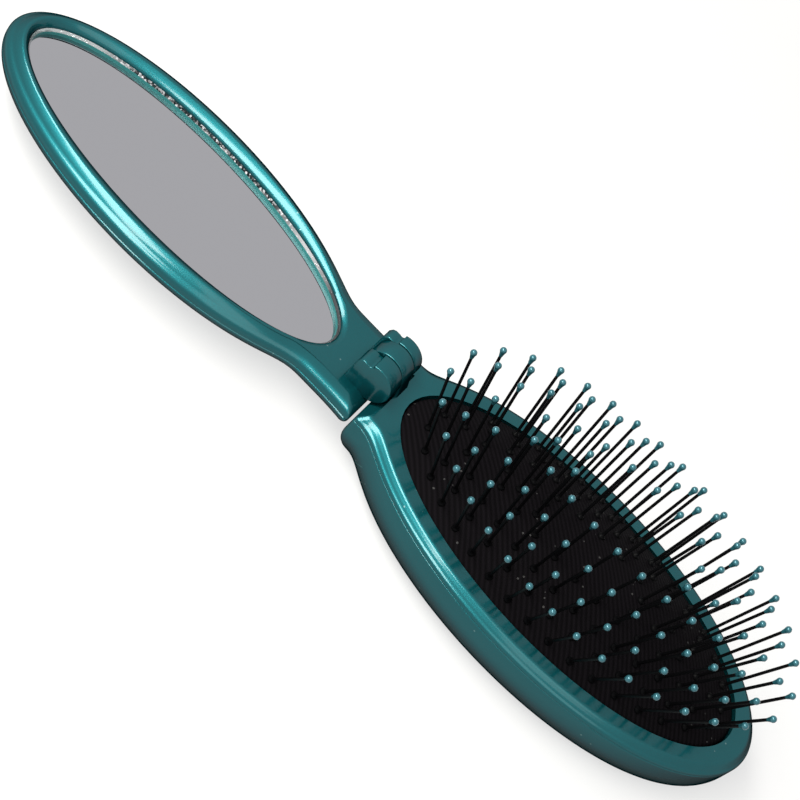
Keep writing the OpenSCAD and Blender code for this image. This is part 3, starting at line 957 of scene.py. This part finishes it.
rows = [even_places(34, 4.9, 2.35, 0.84, 0.6), even_places(28, 8.5, 5.65, 0.22, 0.6),
        even_places(26, 13.3, 9.25, 0.73, 0.6), even_places(19, 19.5, 13.85, 0.86, 1.6),
        [(0.3 + s * x, y) for s in (-1, 1) for x, y in ((18.4, 0), (13, -2), (13, 2))]]
print("bristles in each row:", [len(r) for r in rows])

# %% [markdown]
# A shaft with its collar and a ball with its drop-shaped neck are round, so each is spun from a
# half section. They have few faces, because they are copied more than a hundred times. Every copy
# stands on the dome and leans outwards, more the nearer it is to the edge.


# %% Spinning and copying
def spun(section, segments):
    """A round mesh from its half section: (radius, height) from the lower to the upper pole."""
    bm = bmesh.new()
    wire = [bm.verts.new((r, 0, z)) for r, z in section]
    edges = [bm.edges.new(pair) for pair in zip(wire, wire[1:])]
    bmesh.ops.spin(bm, geom=wire + edges, cent=(0, 0, 0), axis=(0, 0, 1), angle=math.tau,
                   steps=segments, use_merge=True)
    bmesh.ops.remove_doubles(bm, verts=bm.verts, dist=1e-4)
    bmesh.ops.recalc_face_normals(bm, faces=bm.faces)
    mesh = bpy.data.meshes.new("template")
    bm.to_mesh(mesh)
    bm.free()
    return mesh


def stood_on_dome(places, template):
    """One mesh with a leaning copy of a template at each place."""
    bm = bmesh.new()
    for x, y in places:
        before = len(bm.verts)
        bm.from_mesh(template)
        bm.verts.ensure_lookup_table()
        lean = Vector((math.tan(math.radians(LEAN_END)) * x / PAD_A,
                       math.tan(math.radians(LEAN_SIDE)) * y / PAD_B, 1))
        stand = Vector((0, 0, 1)).rotation_difference(lean).to_matrix().to_4x4()
        bmesh.ops.transform(bm, verts=bm.verts[before:],
                            matrix=Matrix.Translation((PAD_X + x, y, dome_z(x, y))) @ stand)
    return bm


print("lean at the edge:", LEAN_END, "degrees lengthwise,", LEAN_SIDE, "across")

# %% [markdown]
# The two inner rows sink straight down with the cushion's middle when the brush is shut. On the
# real brush the three outer rows fold over between the halves. Bending each bristle on its own
# would take many bones, and they hardly show in there, so those rows simply stay with the brush
# half.

# %% Bristles
shaft = spun([(0, -0.5), (0.8, -0.5), (0.8, 0.28), (0.68, 0.45), (0.4, 0.75), (PIN_R, 1.2),
              (PIN_R, PIN_LEN - 0.4), (0, PIN_LEN - 0.3)], 10)
ball = spun([(0, PIN_LEN - 1.42), (PIN_R + 0.02, PIN_LEN - 1.4), (PIN_R + 0.08, PIN_LEN - 1.25),
             (0.5, PIN_LEN - 0.75)]
            + [(BALL_R * math.cos(math.radians(t)), PIN_LEN + BALL_R * math.sin(math.radians(t)))
               for t in (-35, -10, 15, 40, 65)] + [(0, PIN_LEN + BALL_R)], 12)
outer = {1: (0.0156, 0.2), 2: (0.0166, 0.2), 3: (0.0178, 0.12)}     # anchor height, what is kept
for number, places in enumerate(rows, 1):
    pins = piece(f"bristles_row_{number}", stood_on_dome(places, shaft), [bristle_nylon], None,
                 [f"pins_row_{number}"])
    balls = piece(f"balls_row_{number}", stood_on_dome(places, ball), [tip_coating], None,
                  [f"tips_row_{number}"], sharp=60)
    for obj in (pins, balls):
        if number in outer:
            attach(obj, "brush")
            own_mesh(obj)
        else:
            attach(obj, "bristle_bed")
for template in (shaft, ball):
    bpy.data.meshes.remove(template)

# %% [markdown]
# ## Floor and world
# A plain white floor and world surround the brush. More light would bleach the brush before the
# floor turned white, so the white is only for rays that look: those from the camera and those
# that glossy paint and glass send out. As a source of light the world stays dim. The floor glows
# less near the brush than far away, which leaves room for its shadow and lets the far floor run
# into the world.


# %% Rays that see the background
def background_rays(tree):
    """1 for the camera and for what metal and glass show, 0 for light that falls on the brush."""
    path = tree.nodes.new("ShaderNodeLightPath")
    seen = path.outputs["Is Camera Ray"]
    for kind in ("Is Glossy Ray", "Is Transmission Ray"):
        seen = math_node(tree, "MAXIMUM", seen, path.outputs[kind])
    return seen


# %% Floor
def make_floor(near=0.66, far=1.0):
    bm = bmesh.new()
    bmesh.ops.create_grid(bm, x_segments=1, y_segments=1, size=3)
    mat, tree, shader, place = material("white_floor", Roughness=0.9, Emission_Strength=1.0)
    shader.inputs["Base Color"].default_value = (0.25, 0.25, 0.25, 1)
    away = add(tree, "ShaderNodeVectorMath", operation="LENGTH")
    tree.links.new(place, away.inputs[0])
    glow = add(tree, "ShaderNodeMapRange", _From_Min=0.2, _From_Max=0.8, _To_Min=near, _To_Max=far)
    tree.links.new(away.outputs["Value"], glow.inputs[0])
    white = blend_colors(tree, background_rays(tree), (0, 0, 0), glow.outputs[0])
    tree.links.new(white, shader.inputs["Emission Color"])
    obj = as_object("floor", bm)
    obj.data.materials.append(mat)
    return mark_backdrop(obj)


make_floor()


# %% World
def make_world(bright=1.0, dim=0.3):
    world = bpy.data.worlds.new("studio")
    bpy.context.scene.world = world
    world.use_nodes = True
    tree = world.node_tree
    tree.nodes.clear()
    back = add(tree, "ShaderNodeMix", _2=dim, _3=bright)
    tree.links.new(background_rays(tree), back.inputs[0])
    light = add(tree, "ShaderNodeBackground", _Color=(1, 1, 1, 1))
    tree.links.new(back.outputs[0], light.inputs["Strength"])
    out = tree.nodes.new("ShaderNodeOutputWorld")
    tree.links.new(light.outputs[0], out.inputs[0])
    return world


print("world:", make_world().name)

# %% [markdown]
# ## Lamps
# The long streaks on the rims are the reflection of a long strip lamp that hangs above the near
# left side. A round lamp would give spots instead. A second, weak lamp in front keeps the near
# sides from going black. Area lamps are used because their size makes soft shadows.


# %% Lamps
def lamp(name, turn, height, away, size, power):
    """A rectangular lamp aimed at the brush from a compass angle and a height, both in degrees."""
    a, e = math.radians(turn), math.radians(height)
    place = away * Vector((math.cos(a) * math.cos(e), math.sin(a) * math.cos(e), math.sin(e)))
    data = bpy.data.lights.new(name, "AREA")
    data.shape, data.size, data.size_y, data.energy = "RECTANGLE", size[0], size[1], power
    data.color = (1.0, 0.98, 0.92)
    obj = bpy.data.objects.new(name, data)
    bpy.context.scene.collection.objects.link(obj)
    obj.location = place
    obj.rotation_euler = (-place).to_track_quat("-Z", "Y").to_euler()
    print(f"{name}: {power} W, {away} m away")
    return obj


lamp("key_strip", turn=-142, height=57, away=0.6, size=(0.62, 0.16), power=6.8)
lamp("fill", turn=-60, height=50, away=0.7, size=(0.3, 0.3), power=0.6)

# %% [markdown]
# ## Camera
# A long lens from a good way off keeps the two halves in proportion. The camera is rolled, so that
# the brush lies across the picture's diagonal. It is set by the three directions it sees as right,
# down and ahead, because a Track To constraint would keep it level.


# %% Camera
def make_camera():
    data = bpy.data.cameras.new("camera")
    data.sensor_width, data.lens = 36.0, 97.738
    data.clip_start = 0.01
    obj = bpy.data.objects.new("camera", data)
    bpy.context.scene.collection.objects.link(obj)
    right = Vector((0.696603, 0.520188, 0.494114))
    down = Vector((0.717334, -0.517756, -0.46622))
    ahead = Vector((0.013309, 0.679215, -0.733819))
    turn = Matrix((right, -down, -ahead)).transposed().to_4x4()
    obj.matrix_world = Matrix.Translation((-0.001593, -0.282494, 0.319734)) @ turn
    bpy.context.scene.camera = obj
    return obj


print("camera at", [round(c, 3) for c in make_camera().matrix_world.translation], "m")
bpy.context.scene.view_settings.view_transform = "Standard"
